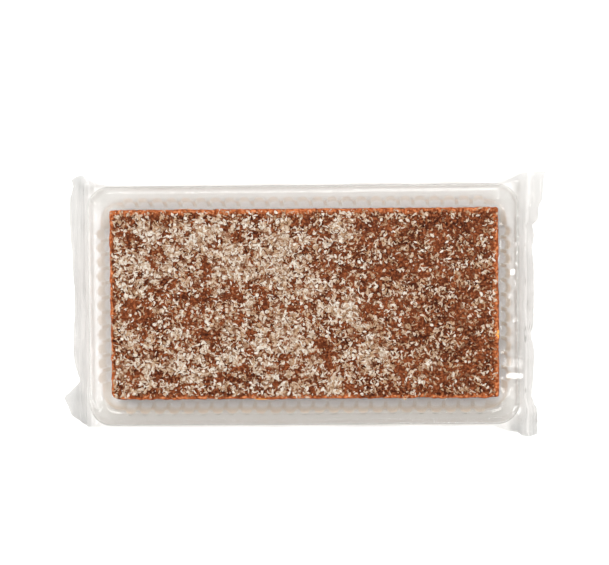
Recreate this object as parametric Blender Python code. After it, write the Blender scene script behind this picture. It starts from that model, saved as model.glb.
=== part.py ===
"""A coconut-topped lolly cake slab in a clear fluted tray, sealed in clear film. Metres, +Z up."""

import math
import random

import bmesh
import bpy
from mathutils import Matrix, Vector, noise
from mathutils.geometry import tessellate_polygon

MM = 0.001

# The slab of cake.
CAKE_LENGTH = 187.0 * MM
CAKE_WIDTH = 91.7 * MM
CAKE_HEIGHT = 22.0 * MM
CAKE_BASE = 1.6 * MM
CAKE_CENTRE_X = 0.8 * MM
CAKE_CENTRE_Y = 0.9 * MM
CAKE_CELL = 5.8 * MM
CAKE_EDGE = 0.9 * MM
CAKE_RELIEF = 0.42 * MM
CAKE_RELIEF_SIZE = 4.5 * MM

# The strands of desiccated coconut that stand out of the top.
STRAND_COUNT = 170
STRAND_LENGTH = (2.6 * MM, 4.4 * MM)
STRAND_WIDTH = (0.85 * MM, 1.3 * MM)
STRAND_PROUD = 0.62 * MM
STRAND_ROOT = 0.5 * MM
STRAND_BEND = 2.4 * MM
STRAND_BORDER = 4.2 * MM
STRAND_SPACING = 6.4 * MM
STRAND_THIN_SIDE = 0.35

# The lollies that show at the slab's sides, in mm: the side, the place along it, the middle's
# height over the slab's underside, the width, the tallness, the depth and how far it stands out.
LOLLY_GAP = 0.3 * MM
LOLLIES = {
    "lolly_right": ("+X", -15.9, 18.8, 6.2, 7.0, 2.4, 0.4),
    "lolly_corner": ("+X", -40.0, 7.5, 6.6, 6.0, 5.0, 0.6),
    "lolly_front": ("-Y", -21.0, 16.2, 8.8, 6.4, 5.0, 1.0),
    "lolly_back": ("+Y", -58.0, 11.0, 9.0, 6.8, 5.0, 0.6),
}

# The tray, by half sizes.
TRAY_HALF_X = 103.5 * MM
TRAY_HALF_Y = 57.5 * MM
TRAY_CORNER = 10.5 * MM
TRAY_WALL = 0.6 * MM
TRAY_BASE = 0.7 * MM
TRAY_RIM = 22.0 * MM
TRAY_LIP = 2.2 * MM
TRAY_FLANGE = 1.7 * MM
TRAY_LEDGE = 14.5 * MM
TRAY_BAND = 1.6 * MM
FLUTES_LONG = 25
FLUTES_SHORT = 11
FLUTE_PITCH = 7.05 * MM
FLUTE_DEPTH = 1.8 * MM
FLUTE_SHARE = 0.76
FLUTE_DRAFT = 2.2 * MM
FLUTE_STEPS = 3
FLUTED_HALF_X = 97.9 * MM
FLUTED_HALF_Y = 51.0 * MM
FLUTED_CORNER = 10.0 * MM
FLUTED_CORNER_BASE = 5.0 * MM

# The film, by its outer face.
FILM_WALL = 0.35 * MM
FILM_HALF_WIDTH = 58.4 * MM
FILM_SHOULDER = 22.8 * MM
FILM_TOP = 26.0 * MM
FILM_TOP_END = 23.3 * MM
FILM_BOX_END = 104.4 * MM
FIN_ROOT = 106.6 * MM
FIN_LENGTH = {-1: 6.0 * MM, 1: 3.9 * MM}
FIN_THICKNESS = 1.0 * MM
FIN_HEIGHT = 10.0 * MM
FIN_RIBS = 3
FIN_RIB_DEPTH = 0.35 * MM
FIN_WAVE = 0.9 * MM
FLARE_START = 95.0 * MM
# How far each fin reaches to the back and to the front, and its ears: y, half width, length.
FIN_REACH = {-1: (63.0 * MM, 57.4 * MM), 1: (62.7 * MM, 65.0 * MM)}
EARS = {
    -1: ((-45.0 * MM, 9.0 * MM, 4.9 * MM), (61.0 * MM, 8.0 * MM, 0.5 * MM)),
    1: ((59.0 * MM, 13.0 * MM, 6.2 * MM), (-52.0 * MM, 14.0 * MM, 2.2 * MM)),
}
# One half of the film's section, from the middle of the underside round to the middle of the
# top: the share of the half width, then the share of the height, which is 1 at the shoulder.
HALF_SECTION = (
    (0.0, 0.0), (0.25, 0.0), (0.5, 0.0), (0.75, 0.0), (0.905, 0.0), (0.955, 0.05),
    (0.99, 0.2), (1.0, 0.45), (1.0, 0.75), (1.0, 0.94), (0.982, 1.0), (0.89, 1.6),
    (0.79, 2.0), (0.53, 2.0), (0.26, 2.0), (0.0, 2.0),
)

CLEAR = (0.86, 0.88, 0.88)
FILM_COLOUR = (0.90, 0.92, 0.93)
CRUMB = (0.20, 0.062, 0.022)
ORANGE = (0.85, 0.28, 0.03)


def clear_scene():
    for obj in list(bpy.data.objects):
        bpy.data.objects.remove(obj, do_unlink=True)


def material(name, colour, roughness, alpha=1.0):
    made = bpy.data.materials.new(name)
    made.use_nodes = True
    surface = made.node_tree.nodes["Principled BSDF"]
    surface.inputs["Base Color"].default_value = (*colour, 1.0)
    surface.inputs["Roughness"].default_value = roughness
    surface.inputs["Metallic"].default_value = 0.0
    surface.inputs["Alpha"].default_value = alpha
    made.diffuse_color = (*colour, alpha)
    return made


def add_object(name, points, faces, surface=None):
    mesh = bpy.data.meshes.new(name)
    mesh.from_pydata([tuple(point) for point in points], [], faces)
    mesh.validate()
    shape = bmesh.new()
    shape.from_mesh(mesh)
    bmesh.ops.recalc_face_normals(shape, faces=shape.faces)
    shape.to_mesh(mesh)
    shape.free()
    made = bpy.data.objects.new(name, mesh)
    bpy.context.scene.collection.objects.link(made)
    if surface:
        mesh.materials.append(surface)
    return made


def smooth(value, low, high):
    """0 below low, 1 above high, and a soft step between them."""
    share = min(1.0, max(0.0, (value - low) / (high - low)))
    return share * share * (3.0 - 2.0 * share)


def mix(first, second, share):
    return first + (second - first) * share


def apply_modifiers(obj):
    graph = bpy.context.evaluated_depsgraph_get()
    mesh = bpy.data.meshes.new_from_object(obj.evaluated_get(graph))
    obj.modifiers.clear()
    obj.data = mesh


def remove_all(objects):
    for obj in list(objects):
        bpy.data.objects.remove(obj, do_unlink=True)


# ---- cake ----


def crumb(x, y, z=0.0):
    """The unevenness of the cake's surface at a point, between -1 and 1 or so."""
    place = Vector((x, y, z)) / CAKE_RELIEF_SIZE
    return 1.5 * noise.noise(place) + 0.6 * noise.noise(place * 2.7)


def divided(length, edge, cell):
    """Coordinates from one end of a side to the other, with a close pair at each end."""
    count = max(2, round((length - 2.0 * edge) / cell))
    inner = [edge + (length - 2.0 * edge) * i / count for i in range(count + 1)]
    return [0.0, *inner, length]


def slab():
    """Points and faces of the slab: a box lattice with worn edges and a crumbly surface."""
    xs = divided(CAKE_LENGTH, CAKE_EDGE, CAKE_CELL)
    ys = divided(CAKE_WIDTH, CAKE_EDGE, CAKE_CELL)
    zs = divided(CAKE_HEIGHT, CAKE_EDGE, 1.7 * CAKE_CELL)[1:]
    zs[0] = 0.0
    last = (len(xs) - 1, len(ys) - 1, len(zs) - 1)
    index, points = {}, []

    def corner(i, j, k):
        if (i, j, k) not in index:
            index[i, j, k] = len(points)
            x, y, z = xs[i] - CAKE_LENGTH / 2, ys[j] - CAKE_WIDTH / 2, zs[k]
            out = Vector((
                (i == last[0]) - (i == 0), (j == last[1]) - (j == 0), float(k == last[2])
            ))
            worn = CAKE_EDGE * 0.36 * max(0.0, out.length_squared - 1.0)
            rough = CAKE_RELIEF * crumb(x, y, z) * (0.0 if k == 0 and out.z == 0 else 1.0)
            direction = out.normalized() if out.length else out
            point = Vector((x, y, z)) + direction * (rough - worn)
            point.z = max(0.0, point.z) if k else 0.0
            points.append(point)
        return index[i, j, k]

    faces = []
    for i in range(last[0]):
        for j in range(last[1]):
            top = last[2]
            faces.append([corner(i, j, top), corner(i + 1, j, top),
                          corner(i + 1, j + 1, top), corner(i, j + 1, top)])
    around = [(i, 0) for i in range(last[0])]
    around += [(last[0], j) for j in range(last[1])]
    around += [(i, last[1]) for i in range(last[0], 0, -1)]
    around += [(0, j) for j in range(last[1], 0, -1)]
    for k in range(last[2]):
        for (i, j), (m, n) in zip(around, around[1:] + around[:1]):
            faces.append([corner(i, j, k), corner(m, n, k),
                          corner(m, n, k + 1), corner(i, j, k + 1)])
    faces.append([corner(i, j, 0) for i, j in reversed(around)])
    return points, faces


def top_height(x, y):
    """The height of the slab's top near a point, from its underside."""
    return CAKE_HEIGHT + CAKE_RELIEF * crumb(x, y, CAKE_HEIGHT)


def coverage(x, y):
    """How thickly the coconut lies at a point: most at the left and middle, least at the right."""
    along = 1.0 - STRAND_THIN_SIDE * smooth(x, 0.0, CAKE_LENGTH * 0.42)
    return along * (0.86 + 0.5 * noise.noise(Vector((x, y, 3.0)) / (22.0 * MM)))


def strand_places(draw):
    """Seeded places for the strands, none nearer to another than the spacing allows."""
    half_x = CAKE_LENGTH / 2 - STRAND_BORDER
    half_y = CAKE_WIDTH / 2 - STRAND_BORDER
    places = []
    for _ in range(200 * STRAND_COUNT):
        x, y = draw.uniform(-half_x, half_x), draw.uniform(-half_y, half_y)
        apart = STRAND_SPACING / max(0.55, coverage(x, y))
        if all((x - a) ** 2 + (y - b) ** 2 > apart**2 for a, b in places):
            places.append((x, y))
        if len(places) == STRAND_COUNT:
            break
    return places


def strand(x, y, draw):
    """Points and faces of one bent, tapered strand lying on the top."""
    length, width = draw.uniform(*STRAND_LENGTH), draw.uniform(*STRAND_WIDTH)
    bend = draw.uniform(-STRAND_BEND, STRAND_BEND)
    turn = Matrix.Rotation(draw.uniform(0.0, math.tau), 3, "Z")
    lift = draw.uniform(-0.1, 0.1)
    points, faces = [], []
    for step, (along, size) in enumerate(((-0.5, 0.45), (0.0, 1.0), (0.5, 0.55))):
        middle = turn @ Vector((along * length, bend * (0.25 - along * along), 0.0))
        across = turn @ Vector((0.0, 0.5 * width * size, 0.0))
        middle += Vector((x, y, top_height(x + middle.x, y + middle.y)))
        root = Vector((0.0, 0.0, -STRAND_ROOT))
        crest = Vector((0.0, 0.0, STRAND_PROUD * (0.55 + 0.45 * size) + along * lift * length))
        points += [middle - across + root, middle + across + root,
                   middle + across * 0.75 + crest, middle - across * 0.75 + crest]
        if step:
            first = 4 * (step - 1)
            faces += [[first + n, first + (n + 1) % 4, first + 4 + (n + 1) % 4, first + 4 + n]
                      for n in range(4)]
    faces += [[3, 2, 1, 0], [8, 9, 10, 11]]
    return points, faces


def lolly_shape(width, height, depth, grow):
    """Points and faces of a lolly piece: a chewy block with its corners cut, along +X."""
    half_y, half_z = width / 2 + grow, height / 2 + grow
    cut = 0.28 * min(width, height)
    outline = [
        (half_y, half_z - cut), (half_y - cut, half_z), (cut - half_y, half_z),
        (-half_y, half_z - cut), (-half_y, cut - half_z), (cut - half_y, -half_z),
        (half_y - cut, -half_z), (half_y, cut - half_z),
    ]
    levels = ((-depth - grow, 0.8), (-0.7 * depth, 1.0), (-0.1 * depth, 1.0), (grow, 0.72))
    if grow:
        levels = ((-depth - grow, 0.84), (-0.7 * depth, 1.0), (3.0 * MM, 1.0))
    points = [(x, y * size, z * size) for x, size in levels for y, z in outline]
    sides, faces = len(outline), []
    for ring in range(len(levels) - 1):
        for n in range(sides):
            low = ring * sides + n
            high = ring * sides + (n + 1) % sides
            faces.append([low, high, high + sides, low + sides])
    faces.append(list(reversed(range(sides))))
    faces.append([(len(levels) - 1) * sides + n for n in range(sides)])
    return points, faces


def add_lolly(name, place, grow, surface=None):
    """A lolly, or with grow its pocket's cutter, set into its side of the slab."""
    side = place[0]
    along, height, wide, tall, depth, proud = (value * MM for value in place[1:])
    made = add_object(name, *lolly_shape(wide, tall, depth, grow), surface)
    turn = {"+X": 0.0, "+Y": math.pi / 2, "-Y": -math.pi / 2}[side]
    reach = (CAKE_LENGTH if side == "+X" else CAKE_WIDTH) / 2 + proud
    out = Matrix.Rotation(turn, 3, "Z") @ Vector((reach, 0.0, 0.0))
    shift = Vector((0.0, along, height)) if side == "+X" else Vector((along, 0.0, height))
    base = Vector((CAKE_CENTRE_X, CAKE_CENTRE_Y, CAKE_BASE))
    made.data.transform(Matrix.Translation(base + out + shift) @ Matrix.Rotation(turn, 4, "Z"))
    return made


def build_cake():
    surface = material("cake", CRUMB, 0.85)
    points, faces = slab()
    cake = add_object("cake", points, faces, surface)
    cake.data.transform(Matrix.Translation((CAKE_CENTRE_X, CAKE_CENTRE_Y, CAKE_BASE)))
    draw = random.Random(41)
    strands = bpy.data.collections.new("strands")
    bpy.context.scene.collection.children.link(strands)
    for number, (x, y) in enumerate(strand_places(draw)):
        made = add_object(f"strand_{number}", *strand(x, y, draw))
        made.data.transform(Matrix.Translation((CAKE_CENTRE_X, CAKE_CENTRE_Y, CAKE_BASE)))
        bpy.context.scene.collection.objects.unlink(made)
        strands.objects.link(made)
    join = cake.modifiers.new("strands", "BOOLEAN")
    join.operation, join.operand_type, join.collection = "UNION", "COLLECTION", strands
    join.solver = "MANIFOLD"
    apply_modifiers(cake)
    remove_all(strands.objects)
    bpy.data.collections.remove(strands)
    cutters = []
    for name, place in LOLLIES.items():
        cutter = add_lolly(f"{name}_pocket", place, LOLLY_GAP)
        cutter.hide_render, cutter.display_type = True, "WIRE"
        cut = cake.modifiers.new(name, "BOOLEAN")
        cut.operation, cut.object, cut.solver = "DIFFERENCE", cutter, "EXACT"
        cutters.append(cutter)
    apply_modifiers(cake)
    remove_all(cutters)


def build_lollies():
    surface = material("lolly", ORANGE, 0.35)
    for name, place in LOLLIES.items():
        add_lolly(name, place, 0.0, surface)


# ---- tray ----


def rounded_outline(half_x, half_y, radius, steps=6):
    """Points round a rectangle with rounded corners, anticlockwise from the right side."""
    points = []
    for turn, (sx, sy) in enumerate(((1, 1), (-1, 1), (-1, -1), (1, -1))):
        for step in range(steps + 1):
            angle = (turn + step / steps) * math.pi / 2
            points.append((sx * (half_x - radius) + radius * math.cos(angle),
                           sy * (half_y - radius) + radius * math.sin(angle)))
    return points


def fluted_outline(half_x, half_y, radius, depth):
    """Points round the same rectangle with a row of rounded flutes pressed out of each side."""
    corners = rounded_outline(half_x, half_y, radius, 4)
    points = []
    for side in range(4):
        points += corners[5 * side: 5 * side + 5]
        long_side = side % 2 == 0
        count = FLUTES_LONG if long_side else FLUTES_SHORT
        turn = Matrix.Rotation((side + 1) * math.pi / 2, 2)
        reach = half_y if long_side else half_x
        for flute in range(count):
            middle = (flute - (count - 1) / 2) * FLUTE_PITCH
            for step in range(FLUTE_STEPS + 1):
                angle = math.pi * step / FLUTE_STEPS
                along = middle - 0.5 * FLUTE_SHARE * FLUTE_PITCH * math.cos(angle)
                out = turn @ Vector((reach + depth * math.sin(angle), along))
                points.append((out.x, out.y))
    return points


def build_tray():
    """The tray as one thin wall: its top face from lip to floor, then its underside back."""
    points, faces = [], []

    def ring(outline, z):
        first = len(points)
        points.extend((x, y, z) for x, y in outline)
        return list(range(first, len(points)))

    def wall(low, high):
        count = len(low)
        for n in range(count):
            m = (n + 1) % count
            faces.append([low[n], low[m], high[m], high[n]])

    def filled(*rings):
        loops = [[Vector(points[n]) for n in loop] for loop in rings]
        order = [n for loop in rings for n in loop]
        faces.extend([order[n] for n in triangle] for triangle in tessellate_polygon(loops))

    def smooth_ring(inset, z):
        return ring(rounded_outline(TRAY_HALF_X - inset, TRAY_HALF_Y - inset,
                                    TRAY_CORNER - 0.5 * inset), z)

    def fluted_ring(inset, corner, z):
        return ring(fluted_outline(FLUTED_HALF_X - inset, FLUTED_HALF_Y - inset,
                                   corner, FLUTE_DEPTH), z)

    ledge_inset = TRAY_FLANGE + TRAY_BAND
    lip = TRAY_RIM - TRAY_LIP
    above = [
        smooth_ring(0.0, lip), smooth_ring(0.0, TRAY_RIM - 0.5 * MM),
        smooth_ring(0.4 * MM, TRAY_RIM), smooth_ring(TRAY_FLANGE, TRAY_RIM),
        smooth_ring(ledge_inset - 0.4 * MM, TRAY_LEDGE + 1.2 * MM),
        smooth_ring(ledge_inset, TRAY_LEDGE),
    ]
    below = [
        smooth_ring(TRAY_WALL, lip), smooth_ring(TRAY_WALL, TRAY_RIM - 0.9 * MM),
        smooth_ring(TRAY_FLANGE - 0.5 * TRAY_WALL, TRAY_RIM - TRAY_WALL),
        smooth_ring(ledge_inset - TRAY_WALL, TRAY_LEDGE - TRAY_WALL),
    ]
    for chain in (above, below):
        for outer, inner in zip(chain, chain[1:]):
            wall(outer, inner)
    wall(above[0], below[0])
    flutes_above = (fluted_ring(0.0, FLUTED_CORNER, TRAY_LEDGE),
                    fluted_ring(FLUTE_DRAFT, FLUTED_CORNER_BASE, TRAY_BASE + TRAY_WALL))
    flutes_below = (fluted_ring(-TRAY_WALL, FLUTED_CORNER, TRAY_LEDGE - TRAY_WALL),
                    fluted_ring(FLUTE_DRAFT - TRAY_WALL, FLUTED_CORNER_BASE, TRAY_BASE))
    wall(*flutes_above)
    wall(*flutes_below)
    filled(above[-1], flutes_above[0])
    filled(below[-1], flutes_below[0])
    filled(flutes_above[1])
    filled(flutes_below[1])
    add_object("tray", points, faces, material("tray", CLEAR, 0.12, alpha=0.35))


# ---- film ----


def film_point(x, share, height, side, inset):
    """One point of the film's section at x, on the side of +Y or -Y, set in by inset."""
    end, sign = abs(x), 1 if x > 0 else -1
    closing = smooth(end, FILM_BOX_END, FIN_ROOT)
    reach = FIN_REACH[sign][0 if side > 0 else 1]
    width = mix(FILM_HALF_WIDTH, reach, smooth(end, FLARE_START, FIN_ROOT)) - inset
    y = side * share * width
    top = mix(FILM_TOP, FILM_TOP_END, smooth(end, CAKE_LENGTH / 2, FILM_BOX_END))
    if height <= 1.0:
        open_z = mix(inset, FILM_SHOULDER - inset, height)
    else:
        open_z = mix(FILM_SHOULDER, top, height - 1.0) - inset
    half = FIN_THICKNESS / 2 - inset
    wave = FIN_WAVE * math.sin(y / (9.0 * MM) + sign) * smooth(end, FIN_ROOT, FIN_ROOT + 4.0 * MM)
    length = FIN_LENGTH[sign]
    rib = FIN_RIB_DEPTH * math.sin(math.pi * FIN_RIBS * (end - FIN_ROOT) / length)
    if end <= FIN_ROOT:
        rib = 0.0
    fin_z = FIN_HEIGHT + wave + rib + mix(-half, half, min(1.0, height))
    out = smooth(end, FILM_BOX_END, FIN_ROOT + length)
    ear = sum(far * max(0.0, 1.0 - ((y - centre) / wide) ** 2)
              for centre, wide, far in EARS[sign])
    ripple = 0.35 * MM * math.sin(y / (2.3 * MM))
    return (x + sign * out * (ear + ripple), y, mix(open_z, fin_z, closing))


def film_stations():
    """The places along X at which the film's section is drawn, from the left end to the right."""
    body = [0.33 * CAKE_LENGTH / 2, 0.66 * CAKE_LENGTH / 2, CAKE_LENGTH / 2, 98.5 * MM,
            102.0 * MM, FILM_BOX_END, mix(FILM_BOX_END, FIN_ROOT, 0.5)]
    rows = 2 * FIN_RIBS
    left, right = (body + [FIN_ROOT + FIN_LENGTH[sign] * n / rows for n in range(rows + 1)]
                   for sign in (-1, 1))
    return [-x for x in reversed(left)] + [0.0] + right


def build_film():
    """The film as a thin sleeve, pinched at both ends, with a slit between the fins' layers."""
    points, faces = [], []
    stations = film_stations()
    section = [(share, height, 1) for share, height in HALF_SECTION]
    section += [(share, height, -1) for share, height in reversed(HALF_SECTION[1:-1])]
    count = len(section)
    for inset in (0.0, FILM_WALL):
        for x in stations:
            points += [film_point(x, share, height, side, inset)
                       for share, height, side in section]
    inner = len(stations) * count
    for station in range(len(stations) - 1):
        for n in range(count):
            a, b = station * count + n, station * count + (n + 1) % count
            faces.append([a, b, b + count, a + count])
            faces.append([inner + a + count, inner + b + count, inner + b, inner + a])
    for first in (0, (len(stations) - 1) * count):
        for n in range(count):
            a, b = first + n, first + (n + 1) % count
            faces.append([a, inner + a, inner + b, b])
    add_object("film", points, faces, material("film", FILM_COLOUR, 0.1, alpha=0.25))


clear_scene()
build_cake()
build_lollies()
build_tray()
build_film()
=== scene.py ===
"""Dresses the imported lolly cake: crumbly slab, desiccated coconut, lollies, clear tray and film."""

import math

import bpy
import numpy as np
from mathutils import Matrix, Vector

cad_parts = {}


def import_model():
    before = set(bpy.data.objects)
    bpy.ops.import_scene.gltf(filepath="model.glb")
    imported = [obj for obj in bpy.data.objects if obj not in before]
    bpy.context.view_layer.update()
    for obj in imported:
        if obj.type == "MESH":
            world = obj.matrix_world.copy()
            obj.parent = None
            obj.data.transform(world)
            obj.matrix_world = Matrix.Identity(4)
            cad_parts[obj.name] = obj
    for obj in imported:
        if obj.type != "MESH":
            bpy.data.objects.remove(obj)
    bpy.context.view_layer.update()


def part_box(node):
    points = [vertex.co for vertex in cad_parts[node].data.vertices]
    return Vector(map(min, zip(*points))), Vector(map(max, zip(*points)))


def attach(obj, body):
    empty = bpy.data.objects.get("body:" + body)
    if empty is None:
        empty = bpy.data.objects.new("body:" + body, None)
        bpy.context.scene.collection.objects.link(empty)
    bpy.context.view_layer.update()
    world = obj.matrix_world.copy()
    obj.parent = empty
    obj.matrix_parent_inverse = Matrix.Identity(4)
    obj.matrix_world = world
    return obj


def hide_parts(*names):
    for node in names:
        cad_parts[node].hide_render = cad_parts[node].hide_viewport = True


MM = 0.001

# The slab, as in the part.
CAKE_LENGTH, CAKE_WIDTH, CAKE_HEIGHT = 187.0 * MM, 91.7 * MM, 22.0 * MM
CAKE_BASE = 1.6 * MM
CAKE_CENTRE = np.array([0.8 * MM, 0.9 * MM])
CAKE_CELL = 0.62 * MM
CAKE_ROUND = 1.0 * MM
# The crumb's noise layers: size of the lumps, depth and seed.
CRUMB_LAYERS = ((6.0 * MM, 0.20 * MM, 11), (2.3 * MM, 0.24 * MM, 12), (1.25 * MM, 0.28 * MM, 13))
# How deep and how far the slab's corner at -X and -Y is broken off, and how wide its bare rim is
# there and at the opposite corner.
BROKEN_DEPTH, BROKEN_REACH = 1.5 * MM, 3.4 * MM
RIM_WIDTHS = (1.5 * MM, 2.4 * MM)
# How far the sides are drawn in at the base, and at +X and +Y over the whole height.
BASE_INSET, FAR_INSET = 0.9 * MM, 0.5 * MM
# Between which heights coconut dust sets in, and a side turns from cut crumb, paler low down as
# painted light that lifts the shade beside the base, into the dark rim.
DUST_HEIGHTS = (21.0 * MM, 21.8 * MM)
PALE_SIDE_HEIGHTS = (10.0 * MM, 21.5 * MM)

# The tray, by half sizes.
TRAY_HALF = np.array([103.5 * MM, 57.7 * MM])
FLUTED_HALF = np.array([97.9 * MM, 51.0 * MM])
FLUTES = (25, 11)
FLUTE_PITCH = 7.05 * MM
FLUTE_DEPTH = 1.8 * MM
FLUTE_SHARE = 0.76
FLUTE_DRAFT = 3.0 * MM
FLUTE_STEPS = 12
FLUTED_CORNER, FLUTED_CORNER_BASE = 10.0 * MM, 2.6 * MM
CORNER_STEPS = 14
TRAY_WALL = 0.35 * MM
# The ledge between the sloped band and the flutes: how far its inner edge stands outside the
# flutes' line, its corner radius there, and its height, at the ends and along the long sides.
LEDGE_OUT = np.array([2.4, 2.35]) * MM
LEDGE_CORNER = 9.0 * MM
LEDGE_HEIGHT, LEDGE_SIDE_HEIGHT = 14.5 * MM, 14.55 * MM
# The flutes on the +Y side stand a little further in.
FLUTES_IN = 1.1 * MM
# Inset from the outer half sizes, height and corner radius, in mm, from the lip to the ledge.
TRAY_BAND = (
    (0.0, 19.8, 10.5), (0.0, 21.4, 10.5), (0.1, 21.8, 10.4), (0.35, 22.0, 10.3),
    (0.6, 22.0, 10.2), (0.8, 21.85, 10.1), (0.95, 21.3, 10.0), (1.5, 17.5, 9.8),
    (1.85, 15.1, 9.6), (1.95, 14.8, 9.5), (2.1, 14.7, 9.4), (2.25, 14.66, 9.35),
)
# Share of the way from the ledge down to the floor, height in mm, share of the flutes' depth.
TRAY_FLUTED = (
    (-0.10, 14.35, 1.0), (0.03, 14.0, 1.0), (0.12, 12.9, 1.0), (0.36, 9.6, 1.0),
    (0.66, 5.8, 1.0), (0.88, 2.9, 1.0), (0.97, 1.9, 0.97), (1.08, 1.45, 0.86),
    (1.35, 1.3, 0.55), (1.8, 1.3, 0.0),
)

# The camera: the place it looks at, its lean, roll and distance, and the picture's width in
# pixels with what one pixel measures at the tray's rim.
CAMERA_TARGET = (0.9 * MM, 10.93 * MM, 22.0 * MM)
CAMERA_LEAN, CAMERA_ROLL, CAMERA_DISTANCE = math.radians(3.1), math.radians(0.42), 1.6
PICTURE_WIDTH, PIXEL = 609, 0.48 * MM
SENSOR_WIDTH = 36.0

# The lamps: place, size and power.
LAMPS = {
    "key": ((-0.05, 0.52, 1.42), 0.62, 10.2),
    "glint_back": ((0.05, 1.05, 0.95), 0.20, 5.0),
    "glint_top": ((0.47, 0.09, 1.32), 0.18, 2.6),
    "low_left": ((-1.27, -0.09, 0.59), 1.2, 12.0),
    "low_right": ((1.27, -0.09, 0.59), 1.2, 6.5),
}

# The film, by its outer face: heights of its shoulder and top, and how its ends close.
FILM_SHOULDER = 22.8 * MM
FILM_TOP = 25.9 * MM
FILM_TOP_END = 23.3 * MM
FILM_BOX_END = 104.4 * MM
FIN_ROOT = 106.6 * MM
FIN_LENGTH = {-1: 7.2 * MM, 1: 3.9 * MM}
FIN_HEIGHT = 10.0 * MM
FIN_WAVE = 0.9 * MM
CRIMP_PITCH, CRIMP_DEPTH = 1.15 * MM, 0.16 * MM
# How far the film stays inside the CAD film's box, and where and how flat its underside lies.
FILM_MARGIN = 0.05 * MM
FLAT_END, FLAT_BELOW, FLAT_HEIGHT = 101.0 * MM, 0.6 * MM, 0.3 * MM
# Painted highlight lines across the gathered ends, where the grey is taken away so the film shows
# bright: place along the pack, width and strength.
PAINTED_HIGHLIGHT_LINES = ((-102.1 * MM, 0.5 * MM, 0.9), (106.9 * MM, 0.45 * MM, 0.45))
# Half width by distance from the middle, in mm, for each corner: end, then side.
CORNERS = {
    (-1, 1): ((95, 58.4), (99.5, 59.0), (104, 61.6), (107.5, 62.9), (111, 62.5), (113.8, 61.0)),
    (-1, -1): ((95, 58.4), (101, 58.0), (107, 57.9), (109, 57.2), (113.8, 53.5)),
    (1, 1): ((94, 58.4), (97, 58.7), (102, 60.4), (105.8, 62.6), (110.5, 62.5)),
    (1, -1): ((91, 58.4), (94.5, 59.9), (102.6, 61.9), (107, 64.8), (110.5, 63.6)),
}
# How far each fin's edge stands out by place across the pack, in mm.
EDGES = {
    -1: ((-58, -1.5), (-53, 0.3), (-45, 3.5), (-44, 2.6), (-37, -4.6), (-30, -2.2), (-23, -1.3),
         (-12, -1.5), (0, -2.2), (9, -2.2), (17, -1.8), (27, -1.3), (37, -0.6), (46, -0.1),
         (52, -0.4), (57.5, -2.2), (61, -1.6)),
    1: ((-64, 1.9), (-51.4, 1.4), (-45.1, -1.3), (-37, -0.1), (-26.4, 0.5), (-19.2, -0.3),
        (-15.2, -1.3), (-11, 0.0), (-3, 0.3), (18, 0.3), (26.4, -0.3), (32.6, 0.5), (37.1, -0.4),
        (39.8, 2.3), (46.1, 3.0), (49.7, 4.9), (57.7, 5.4), (63, 6.2)),
}
# Half of the film's section, from the middle of its underside: share of the half width, and
# height, where 1 is the shoulder and 2 the top.
HALF_SECTION = (
    (0.0, 0.0), (0.25, 0.0), (0.5, 0.0), (0.75, 0.0), (0.905, 0.0), (0.955, 0.05),
    (0.99, 0.2), (1.0, 0.45), (1.0, 0.75), (1.0, 0.94), (0.992, 1.04), (0.95, 1.84),
    (0.935, 1.89), (0.60, 1.94), (0.40, 1.97), (0.2, 1.99), (0.0, 2.0),
)
# The lengths in mm by which the section is sampled evenly: half width, shoulder and crown. Then
# the number of samples, and how many each way are blurred together.
SECTION_HALF, SECTION_SHOULDER, SECTION_CROWN = 58.0, 22.8, 3.0
SECTION_SAMPLES, SECTION_BLUR = 241, 2


def linear(*colour):
    """A screen colour from 0 to 255 as the shader's linear values."""
    return tuple((c / 255 / 12.92) if c / 255 <= 0.04045 else ((c / 255 + 0.055) / 1.055) ** 2.4
                 for c in colour)


def smooth(value, low, high):
    """A soft step from 0 at low to 1 at high."""
    share = np.clip((value - low) / (high - low), 0.0, 1.0)
    return share * share * (3.0 - 2.0 * share)


def mix(first, second, share):
    return first + (second - first) * share


def field(x, y, size, seed):
    """Smooth noise between -1 and 1 over a plane, with bumps about size across."""
    grid = np.random.default_rng(seed).uniform(-1.0, 1.0, (512, 512))
    u, v = np.asarray(x) / size + 200.0, np.asarray(y) / size + 200.0
    i, j = np.floor(u).astype(int), np.floor(v).astype(int)
    f, g = u - i, v - j
    f, g = f * f * (3.0 - 2.0 * f), g * g * (3.0 - 2.0 * g)
    i0, i1, j0, j1 = i % 512, (i + 1) % 512, j % 512, (j + 1) % 512
    near = mix(grid[i0, j0], grid[i1, j0], f)
    far = mix(grid[i0, j1], grid[i1, j1], f)
    return mix(near, far, g)


def add_mesh(name, points, faces, surface, attributes=(), smooth_faces=True):
    """A mesh object from arrays of points and of faces with the same number of corners."""
    mesh = bpy.data.meshes.new(name)
    faces = [np.asarray(part) for part in (faces if isinstance(faces, list) else [faces])]
    mesh.vertices.add(len(points))
    mesh.vertices.foreach_set("co", np.asarray(points, np.float32).ravel())
    sizes = np.concatenate([np.full(len(part), part.shape[1]) for part in faces])
    corners = np.concatenate([part.ravel() for part in faces])
    mesh.loops.add(len(corners))
    mesh.loops.foreach_set("vertex_index", corners.astype(np.int32))
    mesh.polygons.add(len(sizes))
    starts = np.concatenate([[0], np.cumsum(sizes)[:-1]])
    mesh.polygons.foreach_set("loop_start", starts.astype(np.int32))
    mesh.polygons.foreach_set("use_smooth", np.full(len(sizes), smooth_faces))
    for label, values in attributes:
        layer = mesh.attributes.new(label, "FLOAT", "POINT")
        layer.data.foreach_set("value", np.asarray(values, np.float32))
    mesh.update(calc_edges=True)
    mesh.validate()
    mesh.materials.append(surface)
    made = bpy.data.objects.new(name, mesh)
    bpy.context.scene.collection.objects.link(made)
    return made


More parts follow.
